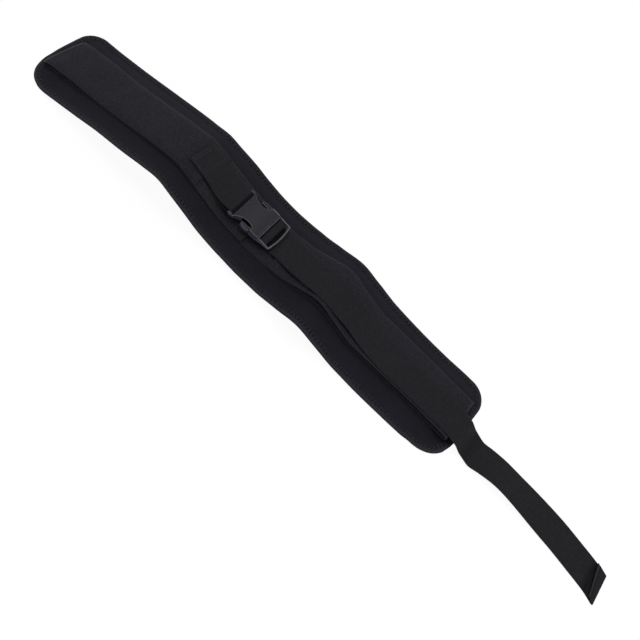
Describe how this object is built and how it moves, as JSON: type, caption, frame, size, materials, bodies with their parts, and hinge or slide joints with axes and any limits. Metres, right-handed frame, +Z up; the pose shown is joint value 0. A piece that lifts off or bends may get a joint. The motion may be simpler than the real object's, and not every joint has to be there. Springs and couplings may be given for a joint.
{
  "type": "dive weight belt",
  "caption": "Padded fabric belt panel with bound edges, a wide webbing band folded back at both ends, a side-release buckle and a long adjusting webbing tail.",
  "frame": {"origin": "centre of the bounding box in X and Y, on the floor", "axes": "+X along the belt towards the free tail, +Y across the belt towards the far edge, +Z up"},
  "size_m": [1.1463, 0.1533, 0.0646],
  "materials": {
    "pad_fabric": "black woven nylon",
    "foam": "closed-cell foam sheet",
    "binding_tape": "black woven tape",
    "webbing": "black nylon webbing",
    "buckle_plastic": "satin black moulded acetal"
  },
  "bodies": {
    "belt": {"pad_cover": "pad_fabric", "foam_core": "foam", "pad_lining": "pad_fabric", "edge_binding": "binding_tape", "wide_band": "webbing", "buckle_flap": "webbing", "socket_strap": "webbing", "adjuster_strap": "webbing", "buckle_male": "buckle_plastic"},
    "socket": {"buckle_socket": "buckle_plastic"},
    "arm_near": {"release_arm_near": "buckle_plastic"},
    "arm_far": {"release_arm_far": "buckle_plastic"}
  },
  "joints": [
    {"name": "buckle_release", "type": "slide", "parent": "belt", "child": "socket", "axis": [-0.9893, -0.0831, 0.1198], "range_m": [0, 0.04], "deforming": ["socket_strap", "release_arm_near", "release_arm_far"]},
    {"name": "press_near", "type": "hinge", "parent": "belt", "child": "arm_near", "pos_m": [-0.12278, -0.01496, 0.03603], "axis": [-0.1223, 0.0248, -0.9922], "range_deg": [0, 12], "stiffness_Nm_per_rad": 2.5},
    {"name": "press_far", "type": "hinge", "parent": "belt", "child": "arm_far", "pos_m": [-0.12548, 0.01891, 0.03721], "axis": [0.1223, -0.0248, 0.9922], "range_deg": [0, 12], "stiffness_Nm_per_rad": 2.5}
  ]
}
